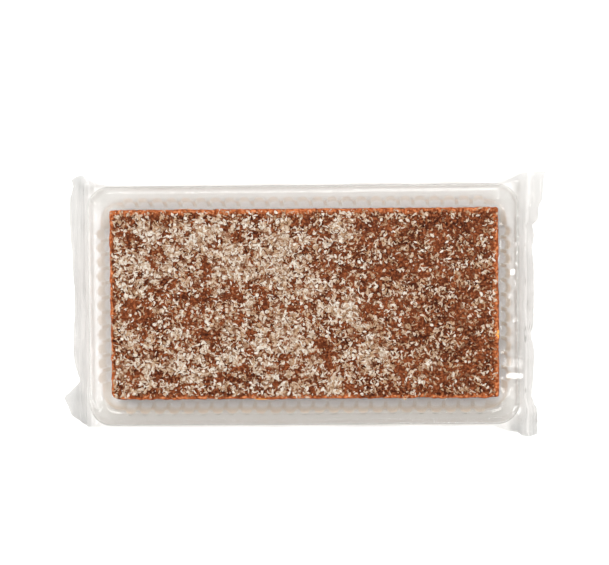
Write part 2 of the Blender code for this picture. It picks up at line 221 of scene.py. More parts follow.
def add_sheet(name, points, faces, surface):
    """A flat-shaded mesh object from a few points and large faces."""
    mesh = bpy.data.meshes.new(name)
    mesh.from_pydata([tuple(point) for point in points], [], faces)
    mesh.materials.append(surface)
    made = bpy.data.objects.new(name, mesh)
    bpy.context.scene.collection.objects.link(made)
    return made


def ring_quads(first, second):
    """Quads between two closed rows of point numbers."""
    return np.stack([first, np.roll(first, -1), np.roll(second, -1), second], 1)


# ---- materials ----

# What clear plastic lets through of each colour, where it has no tint.
CLEAR_TINT = (0.998, 0.997, 0.995)


def new_material(name):
    """A material with nodes, and its nodes and links."""
    made = bpy.data.materials.new(name)
    made.use_nodes = True
    nodes, links = made.node_tree.nodes, made.node_tree.links
    return made, nodes, links


def noise_node(nodes, links, scale, detail=3.0, rough=0.6):
    """Noise through the object, with about scale bumps to the metre."""
    place = nodes.new("ShaderNodeTexCoord")
    made = nodes.new("ShaderNodeTexNoise")
    made.inputs["Scale"].default_value = scale
    made.inputs["Detail"].default_value = detail
    made.inputs["Roughness"].default_value = rough
    links.new(place.outputs["Object"], made.inputs["Vector"])
    return made.outputs["Fac"]


def ramp_node(nodes, links, value, stops):
    """Colours by a value, from stops of place and colour."""
    made = nodes.new("ShaderNodeValToRGB")
    while len(made.color_ramp.elements) < len(stops):
        made.color_ramp.elements.new(0.5)
    for element, (place, colour) in zip(made.color_ramp.elements, stops):
        element.position = place
        element.color = (*colour, 1.0)
    links.new(value, made.inputs["Fac"])
    return made.outputs["Color"]


def mix_node(nodes, links, share, first, second, way="MIX"):
    """A mix of two colours by a share that is a number or a socket."""
    made = nodes.new("ShaderNodeMix")
    made.data_type, made.blend_type = "RGBA", way
    if isinstance(share, float):
        made.inputs["Factor"].default_value = share
    else:
        links.new(share, made.inputs["Factor"])
    links.new(first, made.inputs["A"])
    links.new(second, made.inputs["B"])
    return made.outputs["Result"]


def bump_node(nodes, links, height, strength, depth):
    made = nodes.new("ShaderNodeBump")
    made.inputs["Strength"].default_value = strength
    made.inputs["Distance"].default_value = depth
    links.new(height, made.inputs["Height"])
    return made.outputs["Normal"]


def attribute_node(nodes, label):
    made = nodes.new("ShaderNodeAttribute")
    made.attribute_name = label
    return made.outputs["Fac"]


def cake_material():
    """Brown crumb mottled dark and light, paler and more orange where the rim is bare. The sides grow
    paler toward the base, the crumb's own colour with painted light that lifts the shade there.
    """
    made, nodes, links = new_material("cake_crumb")
    surface = nodes["Principled BSDF"]
    surface.inputs["Roughness"].default_value = 0.8
    surface.inputs["Specular IOR Level"].default_value = 0.03
    grain = noise_node(nodes, links, 760.0, 3.0, 0.65)
    blotch = noise_node(nodes, links, 150.0, 2.0, 0.5)
    top = ramp_node(nodes, links, grain, (
        (0.36, linear(32, 11, 4)), (0.50, linear(82, 37, 17)), (0.64, linear(148, 86, 53))))
    warm = ramp_node(nodes, links, blotch, (
        (0.38, linear(44, 16, 6)), (0.62, linear(126, 66, 36))))
    body = mix_node(nodes, links, 0.3, top, warm)
    rim = ramp_node(nodes, links, grain, (
        (0.36, linear(98, 42, 18)), (0.50, linear(154, 80, 42)), (0.64, linear(206, 136, 92))))
    dust = ramp_node(nodes, links, grain, (
        (0.34, linear(108, 66, 42)), (0.50, linear(146, 110, 84)), (0.66, linear(186, 164, 142))))
    dusted = mix_node(nodes, links, attribute_node(nodes, "dust"), body, dust)
    # Paler crumb low on the sides: partly the crumb's colour, partly painted light that lifts the
    # shade beside the base.
    cut_crumb_and_painted_light = ramp_node(nodes, links, grain, (
        (0.36, linear(134, 74, 42)), (0.50, linear(188, 124, 84)), (0.64, linear(222, 172, 134))))
    edge = mix_node(nodes, links, attribute_node(nodes, "side"), rim, cut_crumb_and_painted_light)
    links.new(mix_node(nodes, links, attribute_node(nodes, "rim"), dusted, edge),
              surface.inputs["Base Color"])
    crumbs = noise_node(nodes, links, 1500.0, 3.0, 0.7)
    links.new(bump_node(nodes, links, crumbs, 0.6, 0.5 * MM), surface.inputs["Normal"])
    return made


def coconut_material():
    """Shreds from brown to off-white by their tone, mottled along their length."""
    made, nodes, links = new_material("coconut")
    surface = nodes["Principled BSDF"]
    surface.inputs["Roughness"].default_value = 0.55
    surface.inputs["Specular IOR Level"].default_value = 0.12
    tone = ramp_node(nodes, links, attribute_node(nodes, "tone"), (
        (0.0, linear(104, 66, 44)), (0.4, linear(169, 138, 107)), (1.0, linear(208, 201, 190))))
    mottle = ramp_node(nodes, links, noise_node(nodes, links, 1200.0), (
        (0.36, (0.62, 0.56, 0.50)), (0.56, (1.0, 1.0, 1.0))))
    links.new(mix_node(nodes, links, 1.0, tone, mottle, "MULTIPLY"), surface.inputs["Base Color"])
    return made


def lolly_material():
    """Chewy orange with a faint sugar grain."""
    made, nodes, links = new_material("lolly_orange")
    surface = nodes["Principled BSDF"]
    surface.inputs["Roughness"].default_value = 0.3
    links.new(ramp_node(nodes, links, noise_node(nodes, links, 500.0), (
        (0.3, linear(240, 128, 24)), (0.7, linear(255, 176, 52)))), surface.inputs["Base Color"])
    grain = noise_node(nodes, links, 900.0)
    links.new(bump_node(nodes, links, grain, 0.25, 0.3 * MM), surface.inputs["Normal"])
    return made


def clear_material(name, tints, roughness, gloss_shares, haze, bump_scale, bump_depth):
    """Clear plastic: what is behind shows through a faint haze, with gloss that grows to the edges.

    The attribute tint says which of the tints it has at each place; besides the plastic's own tints
    they hold painted shade and, on the tray, a painted reflection. The gloss's two shares are for a
    surface seen head on and for one seen edge on.
    """
    made, nodes, links = new_material(name)
    nodes.remove(nodes["Principled BSDF"])
    through = nodes.new("ShaderNodeBsdfTransparent")
    stops = [(n / (len(tints) - 1), tint_and_painted_light) for n, tint_and_painted_light in enumerate(tints)]
    links.new(ramp_node(nodes, links, attribute_node(nodes, "tint_and_painted_light"), stops),
              through.inputs["Color"])
    gloss = nodes.new("ShaderNodeBsdfGlossy")
    gloss.inputs["Roughness"].default_value = roughness
    gloss.inputs["Color"].default_value = (1.0, 1.0, 1.0, 1.0)
    facing = nodes.new("ShaderNodeLayerWeight")
    facing.inputs["Blend"].default_value = 0.5
    power = nodes.new("ShaderNodeMath")
    power.operation = "POWER"
    power.inputs[1].default_value = 5.0
    share = nodes.new("ShaderNodeMath")
    share.operation = "MULTIPLY_ADD"
    head_on, edge_on = gloss_shares
    share.inputs[1].default_value, share.inputs[2].default_value = edge_on - head_on, head_on
    links.new(facing.outputs["Facing"], power.inputs[0])
    links.new(power.outputs["Value"], share.inputs[0])
    waves = noise_node(nodes, links, bump_scale, 2.0, 0.5)
    links.new(bump_node(nodes, links, waves, 0.3, bump_depth), gloss.inputs["Normal"])
    milk = nodes.new("ShaderNodeBsdfDiffuse")
    milk.inputs["Color"].default_value = (0.95, 0.93, 0.9, 1.0)
    body = nodes.new("ShaderNodeMixShader")
    body.inputs["Fac"].default_value = haze
    links.new(through.outputs["BSDF"], body.inputs[1])
    links.new(milk.outputs["BSDF"], body.inputs[2])
    both = nodes.new("ShaderNodeMixShader")
    links.new(share.outputs["Value"], both.inputs["Fac"])
    links.new(body.outputs["Shader"], both.inputs[1])
    links.new(gloss.outputs["BSDF"], both.inputs[2])
    links.new(both.outputs["Shader"], nodes["Material Output"].inputs["Surface"])
    return made


def tray_material():
    """Clear where the tint is 0 or 2/3, warm at 1/3 and grey at 1. The warm is a painted reflection
    of the slab and painted warm shade; the grey is the plastic's own, with painted shade.
    """
    tints = (CLEAR_TINT, (0.915, 0.855, 0.775), CLEAR_TINT, (0.795, 0.788, 0.772))
    return clear_material("clear_tray", tints, 0.12, (0.02, 0.35), 0.09, 150.0, 0.1 * MM)


def film_material():
    """Clear where the tint is 0, and greyer toward 1 where the film is gathered: the film's own grey
    with painted shade.
    """
    tints = (CLEAR_TINT, (0.855, 0.85, 0.84), (0.70, 0.697, 0.69))
    return clear_material("clear_film", tints, 0.14, (0.02, 0.4), 0.0, 220.0, 0.03 * MM)


# ---- cake ----


def crumb(x, y, z):
    """How far the crumb stands out of the slab's plain faces at a point."""
    total = 0.0
    for size, depth, seed in CRUMB_LAYERS:
        total = total + depth * field(x + 0.8 * z, y + 1.1 * z, size, seed)
    return total


def slab_inset(outward, z):
    """How far the slab's sides lie inside the plain box: more toward the base, +X and +Y."""
    share = np.clip(1.03 * outward, -1.0, 1.0) ** 9
    deep = BASE_INSET * (1.0 - np.clip(z / CAKE_HEIGHT, 0.0, 1.0))
    return deep * share + FAR_INSET * np.maximum(share, 0.0)


def slab_surface(points):
    """Moves points of a plain box on to the worn, crumbly slab.

    Says too how near the rim each is, how far down a side, and how thickly coconut dusts it.
    """
    half = np.array([CAKE_LENGTH / 2, CAKE_WIDTH / 2, 0.0])
    low = np.array([-half[0] + CAKE_ROUND, -half[1] + CAKE_ROUND, -1.0])
    high = np.array([half[0] - CAKE_ROUND, half[1] - CAKE_ROUND, CAKE_HEIGHT - CAKE_ROUND])
    core = np.clip(points, low, high)
    out = points - core
    out /= np.maximum(np.linalg.norm(out, axis=1, keepdims=True), 1e-9)
    rough = crumb(points[:, 0], points[:, 1], points[:, 2])
    corner = np.hypot(points[:, 0] + half[0], points[:, 1] + half[1])
    rough = rough - BROKEN_DEPTH * (1.0 - smooth(corner, 0.0, BROKEN_REACH))
    rough *= smooth(points[:, 2], -0.1 * MM, 1.0 * MM)
    moved = core + out * (CAKE_ROUND + rough)[:, None]
    moved[:, :2] -= slab_inset(moved[:, :2] / half[:2], points[:, 2:])
    border = np.minimum(half[0] - abs(points[:, 0]), half[1] - abs(points[:, 1]))
    wander = 0.8 * MM * field(points[:, 0], points[:, 1], 6.0 * MM, 21)
    wander = wander + 0.9 * MM * field(points[:, 0], points[:, 1], 1.6 * MM, 22)
    diagonal = points[:, 0] / half[0] + points[:, 1] / half[1]
    wide = mix(*RIM_WIDTHS, smooth(diagonal, -0.6, 0.6))
    rim = 1.0 - smooth(border + wander, 0.3 * wide, 1.2 * wide)
    thick = coverage(points[:, 0], points[:, 1])
    speck = 0.5 + 0.5 * field(points[:, 0], points[:, 1], 1.3 * MM, 23)
    dust = smooth(thick + 0.35 * speck, 0.55, 1.15) * smooth(points[:, 2], *DUST_HEIGHTS)
    # A side's share of paler crumb toward the base, partly painted light that lifts the shade there.
    side = 1.0 - smooth(points[:, 2] + wander, *PALE_SIDE_HEIGHTS)
    return moved, rim, side, dust


def build_cake(surface):
    """The slab's top and sides as one fine grid, and its flat underside."""
    nx, ny = round(CAKE_LENGTH / CAKE_CELL), round(CAKE_WIDTH / CAKE_CELL)
    nz = round(CAKE_HEIGHT / CAKE_CELL)
    xs = np.linspace(-CAKE_LENGTH / 2, CAKE_LENGTH / 2, nx + 1)
    ys = np.linspace(-CAKE_WIDTH / 2, CAKE_WIDTH / 2, ny + 1)
    gx, gy = np.meshgrid(xs, ys, indexing="ij")
    top = np.stack([gx.ravel(), gy.ravel(), np.full(gx.size, CAKE_HEIGHT)], 1)
    number = np.arange(gx.size).reshape(gx.shape)
    faces = [np.stack([number[:-1, :-1], number[1:, :-1], number[1:, 1:], number[:-1, 1:]], -1)
             .reshape(-1, 4)]
    loop = np.concatenate([number[:-1, 0], number[-1, :-1], number[:0:-1, -1], number[0, :0:-1]])
    points, upper = [top], loop
    count = len(top)
    for row in range(1, nz + 1):
        ring = top[loop].copy()
        ring[:, 2] = CAKE_HEIGHT * (1.0 - row / nz)
        lower = count + np.arange(len(loop))
        points.append(ring)
        faces.append(ring_quads(lower, upper))
        upper, count = lower, count + len(loop)
    moved, rim, side, dust = slab_surface(np.concatenate(points))
    moved[:, :2] += CAKE_CENTRE
    moved[:, 2] += CAKE_BASE
    cake = add_mesh("cake_slab", moved, np.concatenate(faces), surface,
                    [("rim", rim), ("side", side), ("dust", 0.8 * dust)])
    under = add_sheet("cake_underside", moved[upper], [list(range(len(upper)))[::-1]], surface)
    return cake, under


# ---- coconut ----

# How thickly coconut lies at the left, how much less at the right and at the front, and between
# which distances from the slab's border it thins out.
COVER_LEFT, LESS_RIGHT, LESS_FRONT = 0.405, 0.20, 0.05
COVER_BORDER = (0.9 * MM, 3.2 * MM)
# Thick and thin places of the coconut: x, y, radius, strength, from the slab's centre in mm.
DRIFTS = (
    (-63, 28, 10, 0.14), (-48, 35, 7, 0.34), (-36, 18, 10, 0.26), (-13, 30, 7, 0.52),
    (-13, 13, 6, 0.40), (-20, 22, 8, 0.14), (19, 37, 5, 0.22), (21, -4, 7, 0.40),
    (35, -21, 10, 0.26), (-11, -17, 6, 0.34), (-36, -15, 5, 0.16), (-74, -29, 6, 0.16),
    (-59, -20, 6, 0.14), (57, -30, 7, 0.24), (14, -38, 6, 0.14), (-84, 6, 4, 0.24),
    (-2, 20, 8, 0.06), (-79, -4, 7, -0.34), (-67, 7, 7, -0.30), (-34, 5, 6, -0.46),
    (-20, 6, 5, -0.30), (-49, -12, 7, -0.26), (-48, 4, 6, -0.20), (13, -18, 8, -0.34),
    (12, 12, 8, -0.22), (28, 12, 8, -0.16), (41, 22, 6, -0.14), (54, -12, 6, -0.20),
    (72, 0, 8, 0.04), (85, -18, 10, -0.10), (78, 40, 12, -0.16), (-75, -38, 8, -0.24),
    (-70, 45, 10, -0.22), (-30, 45, 12, -0.16), (-86, 30, 7, -0.16), (5, -2, 6, -0.08),
    (-30, -42, 14, -0.10), (14, -38, 14, -0.06), (0, 44, 10, -0.16),
)


def coverage(x, y):
    """How thickly coconut lies at a point of the top, from 0 to about 1."""
    base = COVER_LEFT - LESS_RIGHT * smooth(x, -5.0 * MM, 62.0 * MM)
    base = base - LESS_FRONT * smooth(-y, 20.0 * MM, 46.0 * MM)
    for cx, cy, radius, strength in DRIFTS:
        apart = ((x - cx * MM) ** 2 + (y - cy * MM) ** 2) / (radius * MM) ** 2
        base = base + strength * np.exp(-apart)
    uneven = 1.0 - 0.5 * smooth(x, 10.0 * MM, 60.0 * MM)
    base = base + uneven * (0.12 * field(x, y, 6.0 * MM, 31) + 0.42 * field(x, y, 2.8 * MM, 32))
    border = np.minimum(CAKE_LENGTH / 2 - abs(x), CAKE_WIDTH / 2 - abs(y))
    return np.clip(base, 0.03, 1.0) * (0.05 + 0.95 * smooth(border, *COVER_BORDER))


# The kinds of coconut piece: how many, length (least, usual, most), width (least, most),
# thickness and height of the pile in mm, seed, paleness and how evenly they are strewn.
COCONUT = {
    "coconut_flakes": (2300, (1.0, 1.7, 3.0), (0.9, 1.6), 0.30, 0.5, 73, 0.66, 0.0),
    "coconut_shreds": (3300, (1.0, 1.8, 3.6), (0.5, 1.0), 0.28, 0.6, 71, 0.58, 0.1),
    "coconut_bits": (8500, (0.5, 0.8, 1.4), (0.4, 0.8), 0.22, 0.3, 72, 0.36, 0.3),
}
# Stations along a shred and their share of its full width, and the same for the short ones.
LONG_STATIONS = ((-0.5, 0.35), (-0.17, 0.95), (0.17, 1.0), (0.5, 0.4))
SHORT_STATIONS = ((-0.5, 0.4), (0.0, 1.0), (0.5, 0.45))
SHORT_LENGTH = 1.5 * MM


def scatter(rng, wanted, even):
    """Places on the slab's top, as thick as coverage says, or evener than that."""
    kept = np.empty((0, 2))
    while len(kept) < wanted:
        tries = rng.uniform(-0.5, 0.5, (wanted * 2, 2)) * (CAKE_LENGTH - MM, CAKE_WIDTH - MM)
        chance = mix(coverage(tries[:, 0], tries[:, 1]), 0.4, even)
        kept = np.concatenate([kept, tries[rng.uniform(0.0, 0.95, len(tries)) < chance]])
    return kept[:wanted]


def shred_faces(stations, count):
    """The faces of count four-sided shreds, each with its own run of points."""
    per = 4 * stations
    quads = []
    for ring in range(stations - 1):
        for n in range(4):
            m = (n + 1) % 4
            quads.append((4 * ring + n, 4 * ring + m, 4 * ring + 4 + m, 4 * ring + 4 + n))
    quads += [(3, 2, 1, 0), (per - 4, per - 3, per - 2, per - 1)]
    return (np.arange(count)[:, None, None] * per + np.array(quads)[None]).reshape(-1, 4)


def build_shreds(name, surface):
    """Bent four-sided shreds with tapered ends, lying on the crumb in one mesh."""
    count, length, width, thickness, pile, seed, pale, even = COCONUT[name]
    length, width = np.array(length) * MM, np.array(width) * MM
    thickness, pile = thickness * MM, pile * MM
    rng = np.random.default_rng(seed)
    centre = scatter(rng, count, even)
    long = rng.triangular(length[0], length[1], length[2], count)
    wide = rng.uniform(*width, count)
    thick = thickness * rng.uniform(0.7, 1.2, count)
    turn = rng.uniform(0.0, math.tau, count)
    bend = rng.normal(0.0, 0.24, count) * long
    lift = rng.normal(0.0, 0.09, count)
    roll = rng.normal(0.0, 0.25, count)
    thickly = coverage(centre[:, 0], centre[:, 1])
    raised = pile * thickly * rng.uniform(0.0, 1.0, count) ** 1.3
    along_x, along_y = np.cos(turn), np.sin(turn)
    stations = SHORT_STATIONS if length[2] < SHORT_LENGTH else LONG_STATIONS
    rings = []
    for place, size in stations:
        run = place * long
        side = bend * (0.25 - place * place) * 4.0
        x = centre[:, 0] + run * along_x - side * along_y
        y = centre[:, 1] + run * along_y + side * along_x
        z = CAKE_HEIGHT + crumb(x, y, CAKE_HEIGHT) + raised + abs(run * lift) * np.sign(place)
        half = 0.5 * wide * size
        for across, up in ((-1, 0.0), (1, 0.0), (0.75, 1.0), (-0.75, 1.0)):
            tip = thick * up * (0.6 + 0.4 * size) - 0.12 * MM + across * half * roll
            rings.append(np.stack([x - across * half * along_y, y + across * half * along_x,
                                   z + tip], 1))
    points = np.stack(rings, 1)
    faces = shred_faces(len(stations), count)
    flat = points.reshape(-1, 3)
    flat[:, :2] += CAKE_CENTRE
    flat[:, 2] += CAKE_BASE
    pale = pale * (1.0 - 0.22 * smooth(centre[:, 0], 5.0 * MM, 60.0 * MM))
    tone = np.clip(rng.normal(pale, 0.28, count) + 0.2 * (raised / pile), 0, 1)
    tone = np.repeat(tone, len(rings))
    return add_mesh(name, flat, faces, surface, [("tone", tone)], smooth_faces=False)


# ---- lollies ----


def build_lolly(name, surface, seed):
    """A chewy block with soft corners and a slightly dented skin over the CAD piece."""
    lo, hi = (np.array(v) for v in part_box(name))
    centre, half = (lo + hi) / 2, (hi - lo) / 2
    outward = (centre[:2] - CAKE_CENTRE) / (CAKE_LENGTH / 2, CAKE_WIDTH / 2)
    centre[:2] -= (abs(outward) > 0.9) * slab_inset(outward, centre[2] - CAKE_BASE)
    steps = 24
    u = np.linspace(0.0, math.tau, 2 * steps, endpoint=False)
    v = np.linspace(-0.5 * math.pi, 0.5 * math.pi, steps)
    uu, vv = np.meshgrid(u, v, indexing="ij")

    def flat(value):
        return np.sign(value) * abs(value) ** 0.42

    x = flat(np.cos(uu)) * flat(np.cos(vv))
    y = flat(np.sin(uu)) * flat(np.cos(vv))
    z = flat(np.sin(vv))
    points = np.stack([x.ravel(), y.ravel(), z.ravel()], 1) * half * 0.97
    dent = 0.05 * field(points[:, 0] + points[:, 2], points[:, 1] - points[:, 2], 1.6 * MM, seed)
    points = centre + points * (0.98 + dent)[:, None]
    number = np.arange(uu.size).reshape(uu.shape)
    rows = [ring_quads(number[:, j], number[:, j + 1]) for j in range(steps - 1)]
    return add_mesh("dressed_" + name, points, np.concatenate(rows), surface)


# ---- tray ----


def tray_outline(half, radius, flute):
    """Points round the tray at one level: rounded corners and sides with flutes pressed out.

    Says too which points are on the ribs between the flutes, with 0.6 for the corners, and which
    on a flute's bulge.
    """
    points, rib, bulge = [], [], []
    for side in range(4):
        sx, sy = ((1, 1), (-1, 1), (-1, -1), (1, -1))[side]
        for step in range(CORNER_STEPS + 1):
            angle = (side + step / CORNER_STEPS) * math.pi / 2
            points.append((sx * (half[0] - radius) + radius * math.cos(angle),
                           sy * (half[1] - radius) + radius * math.sin(angle)))
            rib.append(0.6)
            bulge.append(0.0)
        long_side = side % 2 == 0
        count = FLUTES[0] if long_side else FLUTES[1]
        reach = half[1] if long_side else half[0]
        turn = (side + 1) * math.pi / 2
        for n in range(count):
            middle = (n - (count - 1) / 2) * FLUTE_PITCH
            for step in range(FLUTE_STEPS + 1):
                angle = math.pi * step / FLUTE_STEPS
                along = middle - 0.5 * FLUTE_SHARE * FLUTE_PITCH * math.cos(angle)
                out = reach + flute * math.sin(angle)
                points.append((out * math.cos(turn) - along * math.sin(turn),
                               out * math.sin(turn) + along * math.cos(turn)))
                rib.append(1.0 if step in (0, FLUTE_STEPS) else 0.0)
                bulge.append(smooth(math.sin(angle), 0.35, 0.6))
    return np.array(points), np.array(rib), np.array(bulge)


def tray_rows():
    """The tray's levels from the lip to the floor: half sizes, height, corner radius and flute."""
    rows = [(TRAY_HALF - inset * MM, z * MM, radius * MM, 0.0) for inset, z, radius in TRAY_BAND]
    rows.append((FLUTED_HALF + LEDGE_OUT, LEDGE_HEIGHT, LEDGE_CORNER, 0.0))
    for share, z, flute in TRAY_FLUTED:
        radius = mix(FLUTED_CORNER, FLUTED_CORNER_BASE, min(max(share, 0.0), 1.0))
        rows.append((FLUTED_HALF - FLUTE_DRAFT * share, z * MM, radius, FLUTE_DEPTH * flute))
    return rows


def tray_tint_and_painted_light(outline, rib, bulge, half, radius, z):
    """The tint of one level: grey from the ledge up, the plastic's own with painted shade on the -Y
    side and the +X end; warm below on the ribs and bulges, a painted reflection of the slab, and on
    the -Y walls, painted warm shade.
    """
    right, upper = outline[:, 0] > 0, outline[:, 1] > 0
    short = smooth(abs(outline[:, 0]), half[0] - radius, half[0] - 0.3 * radius)
    short = short * (1.0 - smooth(abs(outline[:, 1]), half[1] - 1.4 * radius, half[1]))
    if z > 13.5 * MM:
        # Painted shade: more grey on the -Y side and at the +X end.
        grey = mix(np.where(upper, 0.72, 1.0), np.where(right, 0.32, 0.0), short)
        return (2.0 + grey) / 3.0
    walled = smooth(z, 1.4 * MM, 2.4 * MM) * (1.0 - smooth(z, 13.0 * MM, 14.2 * MM))
    bulge = bulge * smooth(z, 2.0 * MM, 6.0 * MM)
    # Painted reflection of the slab's orange side in the ribs and bulges.
    painted_cake_reflection = walled * np.maximum(rib, bulge)
    painted_cake_reflection = painted_cake_reflection * mix(np.where(upper, 0.55, 0.42), np.where(right, 0.95, 0.5), short)
    # Painted warm shade on the -Y walls.
    lower = walled * smooth(z, 3.0 * MM, 10.0 * MM) * (1.0 - short)
    return np.maximum(painted_cake_reflection, lower * np.where(upper, 0.0, 0.85)) / 3.0


def build_tray(surface):
    """The tray's clear wall: lip, rim, sloped band, ledge, flutes and floor, inside and out."""
    rows = tray_rows()
    points, faces, layers, tints = [], [], [], []
    for offset in (0.0, TRAY_WALL):
        previous = None
        for number, (half, z, radius, flute) in enumerate(rows):
            fluted = number > len(TRAY_BAND)
            push = offset if fluted else -0.6 * offset
            outline, rib, bulge = tray_outline(half + push, radius, flute)
            if fluted:
                outline[:, 1] -= FLUTES_IN * smooth(outline[:, 1], 20.0 * MM, 45.0 * MM)
            level = np.full((len(outline), 1), z - (offset if number > 1 else 0.0))
            if 14.1 * MM < z < 14.8 * MM:
                side = smooth(abs(outline[:, 1:]), half[1] - radius, half[1] - 0.3 * radius)
                level = mix(level, LEDGE_SIDE_HEIGHT - offset, side)
            tints.append(tray_tint_and_painted_light(outline, rib, bulge, half, radius, z))
            numbers = sum(len(part) for part in points) + np.arange(len(outline))
            points.append(np.concatenate([outline, level], 1))
            if previous is not None:
                quads = ring_quads(previous, numbers)
                faces.append(quads if offset else quads[:, ::-1])
            previous = numbers
            layers.append(numbers)
    faces.append(ring_quads(layers[0], layers[len(rows)]))
    wall = add_mesh("tray_wall", np.concatenate(points), np.concatenate(faces), surface,
                    [("tint_and_painted_light", np.concatenate(tints))])
    count = len(points[-1])
    under = list(range(count))
    above = list(range(2 * count - 1, count - 1, -1))
    floor = add_sheet("tray_floor", np.concatenate([points[len(rows) - 1], points[-1]]),
                      [under, above], surface)
    return wall, floor


# ---- film ----


# Flat facets in the film's crumpled ends: middle x and y, half length and half width in mm, the
# way the length runs in degrees, and the lamp that the facet mirrors to the camera.
FACETS = (
    (101.2, -34.4, 4.6, 1.9, -4.0, "glint_back"), (100.6, -28.4, 5.4, 2.6, -8.0, "key"),
    (100.6, 15.3, 1.7, 1.9, 0.0, "glint_back"), (102.4, 28.8, 1.8, 1.6, 20.0, "key"),
    (100.9, -51.0, 2.8, 1.2, 78.0, "glint_top"), (103.8, -50.5, 3.2, 1.1, 60.0, "glint_top"),
    (103.5, 42.4, 1.0, 1.0, 60.0, "glint_back"), (98.8, -42.5, 3.0, 1.2, 65.0, "key"),
    (80.5, -54.9, 0.9, 0.9, 0.0, "glint_top"), (98.6, 3.0, 2.6, 0.9, 60.0, "key"),
    (-98.9, 43.2, 2.3, 0.9, 95.0, "glint_top"), (-102.4, -3.0, 40.0, 0.55, 90.0, "low_left"),
    (-100.5, 51.5, 3.4, 0.8, 135.0, "key"), (-98.0, -50.0, 3.2, 0.7, 50.0, "glint_back"),
    (-101.0, -47.0, 2.4, 0.8, 110.0, "glint_top"), (-99.0, -20.0, 4.0, 0.8, 80.0, "key"),
)


def film_base(x, share, height, side):
    """Points of the film's section at x, as in the part, on the side of +Y or -Y."""
    end, sign = abs(x), np.where(x > 0, 1, -1)
    closing = smooth(end, FILM_BOX_END, FIN_ROOT)
    width = np.zeros_like(x)
    for (which, edge), table in CORNERS.items():
        places, widths = np.array(table).T * MM
        chosen = (sign == which) & (np.sign(side) == edge)
        width = np.where(chosen, np.interp(end, places, widths), width)
    y = side * share * width
    top = mix(FILM_TOP, FILM_TOP_END, smooth(end, CAKE_LENGTH / 2, FILM_BOX_END))
    open_z = np.where(height <= 1.0, FILM_SHOULDER * height,
                      mix(FILM_SHOULDER, top, height - 1.0))
    wave = FIN_WAVE * np.sin(y / (9.0 * MM) + sign) * smooth(end, FIN_ROOT, FIN_ROOT + 4.0 * MM)
    rib = CRIMP_DEPTH * np.sin(math.tau * (end - FIN_ROOT) / CRIMP_PITCH)
    rib = rib * smooth(end, FIN_ROOT, FIN_ROOT + 0.6 * MM)
    rib = rib + CRIMP_DEPTH * np.exp(-((end - FIN_ROOT - 0.9 * MM) / (0.55 * MM)) ** 2)
    fin_z = FIN_HEIGHT + wave + rib + 0.25 * MM * (np.minimum(height, 1.0) - 0.5)
    fin_z = fin_z - 1.6 * MM * np.where(sign > 0, 1.0, 0.3) * smooth(end, FIN_ROOT, 112.0 * MM)
    length = np.where(sign > 0, FIN_LENGTH[1], FIN_LENGTH[-1])
    out = smooth(end, FILM_BOX_END, FIN_ROOT + length)
    ear = np.zeros_like(y)
    for which, table in EDGES.items():
        places, reach = np.array(table).T * MM
        ear = np.where(sign == which, np.interp(y, places, reach), ear)
    ripple = 0.22 * MM * field(y, 0.0 * y, 4.5 * MM, 51) + 0.10 * MM * np.sin(y / (0.55 * MM))
    return np.stack([x + sign * out * (ear + ripple), y, mix(open_z, fin_z, closing)], -1)


def crinkle(points):
    """How far the film stands off its plain form: pleats and creases near the ends."""
    x, y, z = points[..., 0], points[..., 1], points[..., 2]
    end = abs(x)
    near = smooth(end, 90.0 * MM, 101.0 * MM) * np.where(x > 0, 1.0, 0.5)
    pleat = 0.45 * field(y + 0.18 * x, x * 0.16, 5.0 * MM, 61)
    pleat = pleat + 0.28 * field(y - 0.3 * x, x * 0.3, 2.4 * MM, 62)
    ridged = 0.55 * (0.5 - abs(field(x + z, y - 0.5 * z, 6.5 * MM, 63)))
    ridged = ridged + 0.40 * (0.5 - abs(field(x - 0.6 * y, y + 0.4 * x, 4.0 * MM, 67)))
    total = near * (pleat + ridged)
    corner = smooth(abs(y), 46.0 * MM, 58.0 * MM) * near
    total = total + 0.5 * corner * (0.5 - abs(field(x - y, z + y, 5.0 * MM, 64)))
    total = total + 0.10 * field(x * 0.5, y, 16.0 * MM, 65)
    side = smooth(abs(y), 55.0 * MM, 58.0 * MM) * (1.0 - near)
    total = total + 0.30 * side * field(x, z * 0.4, 14.0 * MM, 66)
    return total * MM


def mirror_slopes(place, lamp):
    """The slopes along x and y of a sheet that mirrors a lamp to the camera from a place."""
    to_lamp = Vector(LAMPS[lamp][0]) - Vector(place)
    to_camera = camera_place()[0] - Vector(place)
    half = to_lamp.normalized() + to_camera.normalized()
    return -half.x / half.z, -half.y / half.z


def press_facets(points):
    """Presses the flat facets into the film's top sheet."""
    for cx, cy, long, wide, turn, lamp in FACETS:
        top = mix(FILM_TOP, FILM_TOP_END, smooth(abs(cx) * MM, CAKE_LENGTH / 2, FILM_BOX_END))
        slope_x, slope_y = mirror_slopes((cx * MM, cy * MM, top), lamp)
        rx, ry = points[..., 0] - cx * MM, points[..., 1] - cy * MM
        turned = math.radians(turn)
        along = abs(rx * math.cos(turned) + ry * math.sin(turned)) / MM
        across = abs(ry * math.cos(turned) - rx * math.sin(turned)) / MM
        inside = 1.0 - smooth(along, 0.95 * long, long + 0.5)
        inside = inside * (1.0 - smooth(across, wide, wide + 0.5))
        inside = inside * (points[..., 2] > 16.0 * MM)
        plane = top + slope_x * rx + slope_y * ry
        points[..., 2] = mix(points[..., 2], plane, inside)
    return points


def film_stations():
    """Places along the pack from the left fin's edge to the right one's, closer near the ends."""
    middle = np.linspace(0.0, 90.0 * MM, 46)
    ends = np.arange(90.5, 106.6, 0.45) * MM
    half = {}
    for sign, length in FIN_LENGTH.items():
        fin = np.linspace(FIN_ROOT, FIN_ROOT + length, 26)
        half[sign] = np.concatenate([middle, ends, fin])
    return np.concatenate([-half[-1][::-1], half[1][1:]])


